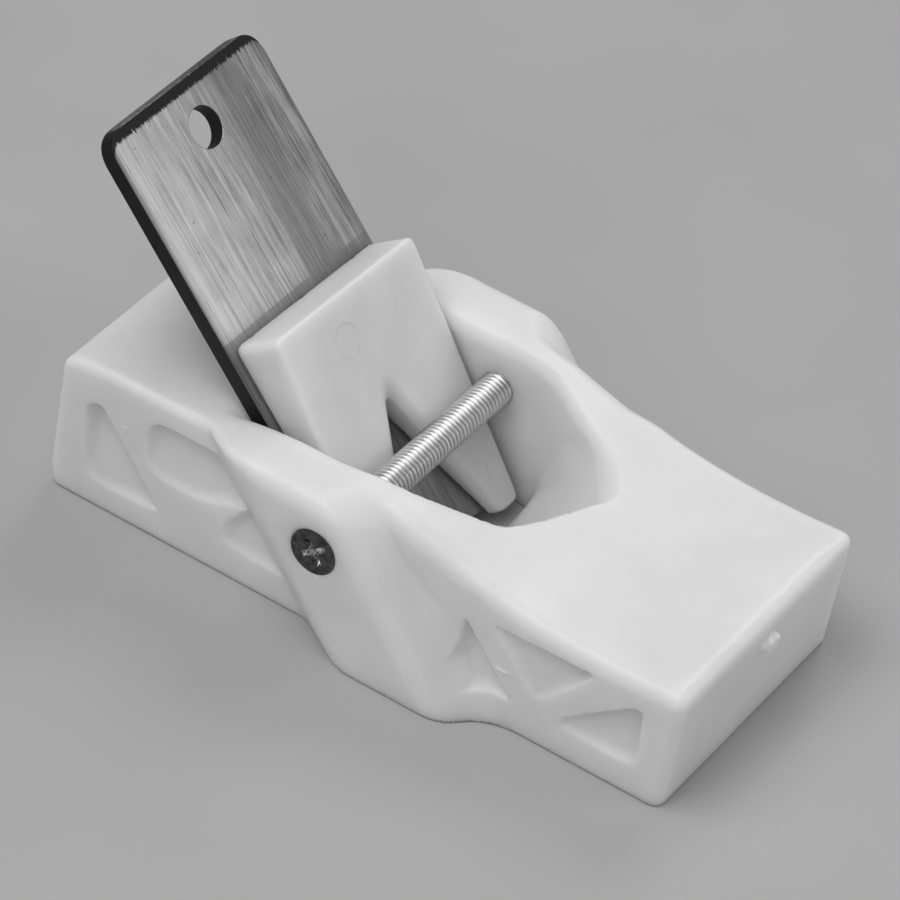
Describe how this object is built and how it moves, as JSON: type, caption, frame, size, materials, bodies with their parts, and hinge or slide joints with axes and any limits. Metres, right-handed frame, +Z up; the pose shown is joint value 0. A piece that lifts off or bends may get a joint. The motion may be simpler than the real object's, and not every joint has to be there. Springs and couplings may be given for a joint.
{
  "type": "miniature hand plane",
  "caption": "Palm-sized moulded plane for wood: a steel blade on a sloping bed, locked by a notched wedge under a cross screw.",
  "frame": {"origin": "on the sole, under the middle of the overall length and width", "axes": "+X along the sole towards the nose, +Y towards the nut side, +Z up from the sole"},
  "size_m": [0.1029, 0.055, 0.0575],
  "materials": {
    "stock": "satin, milky white and slightly translucent",
    "wedge": "satin, milky white and slightly translucent, a little greyer",
    "blade": "ground lengthwise, with dark oxide left round the edges",
    "cross_screw": "bright zinc plate",
    "hex_nut": "bright zinc plate"
  },
  "bodies": {
    "stock": {"stock": "stock"},
    "blade": {"blade": "blade"},
    "wedge": {"wedge": "wedge"},
    "cross_screw": {"cross_screw": "cross_screw"},
    "hex_nut": {"hex_nut": "hex_nut"}
  },
  "joints": [
    {"name": "blade_slide", "type": "slide", "parent": "stock", "child": "blade", "axis": [-0.673, 0, 0.7396], "range_m": [-0.0043, 0.03]},
    {"name": "wedge_slide", "type": "slide", "parent": "stock", "child": "wedge", "axis": [-0.673, 0, 0.7396], "range_m": [0, 0.018]},
    {"name": "screw_turn", "type": "hinge", "parent": "stock", "child": "cross_screw", "pos_m": [-0.0039, 0, 0.0178], "axis": [0, -1, 0], "range_deg": [0, 1800]},
    {"name": "nut_slide", "type": "slide", "parent": "stock", "child": "hex_nut", "axis": [0, 1, 0], "range_m": [0, 0.004]}
  ],
  "couplings": [
    {"joint": "nut_slide", "follows": "screw_turn", "m_per_rad": 0.00012732}
  ]
}
